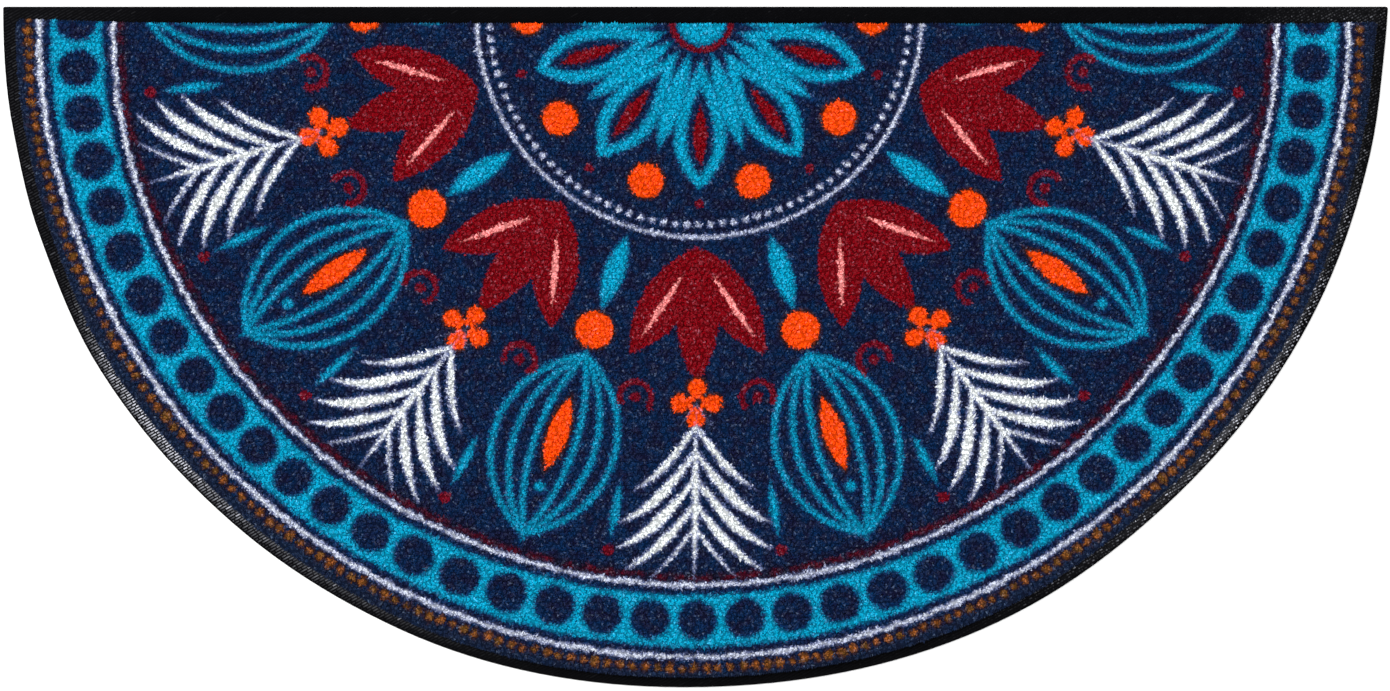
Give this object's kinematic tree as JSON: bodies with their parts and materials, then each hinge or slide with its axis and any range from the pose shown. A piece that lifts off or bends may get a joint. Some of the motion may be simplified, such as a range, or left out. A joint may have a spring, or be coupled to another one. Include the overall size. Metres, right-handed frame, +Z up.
{
  "type": "half-round doormat",
  "caption": "Flat half-round entrance mat: printed cut-pile carpet face on a rubber backing whose bevelled rim shows all round.",
  "frame": {"origin": "middle of the mat's box in plan, on the floor plane that its underside lies on", "axes": "+X along the straight edge, -Y towards the round edge, so the straight edge is at +Y, and +Z up out of the pile"},
  "size_m": [0.85, 0.4178, 0.007],
  "materials": {
    "rubber": "black nitrile rubber with a fine ribbed emboss, low sheen",
    "printed_pile": "cut nylon pile printed navy, turquoise, white, orange and dark red"
  },
  "bodies": {
    "root": {"rubber_backing": "rubber", "carpet_pile": "printed_pile"}
  },
  "joints": []
}
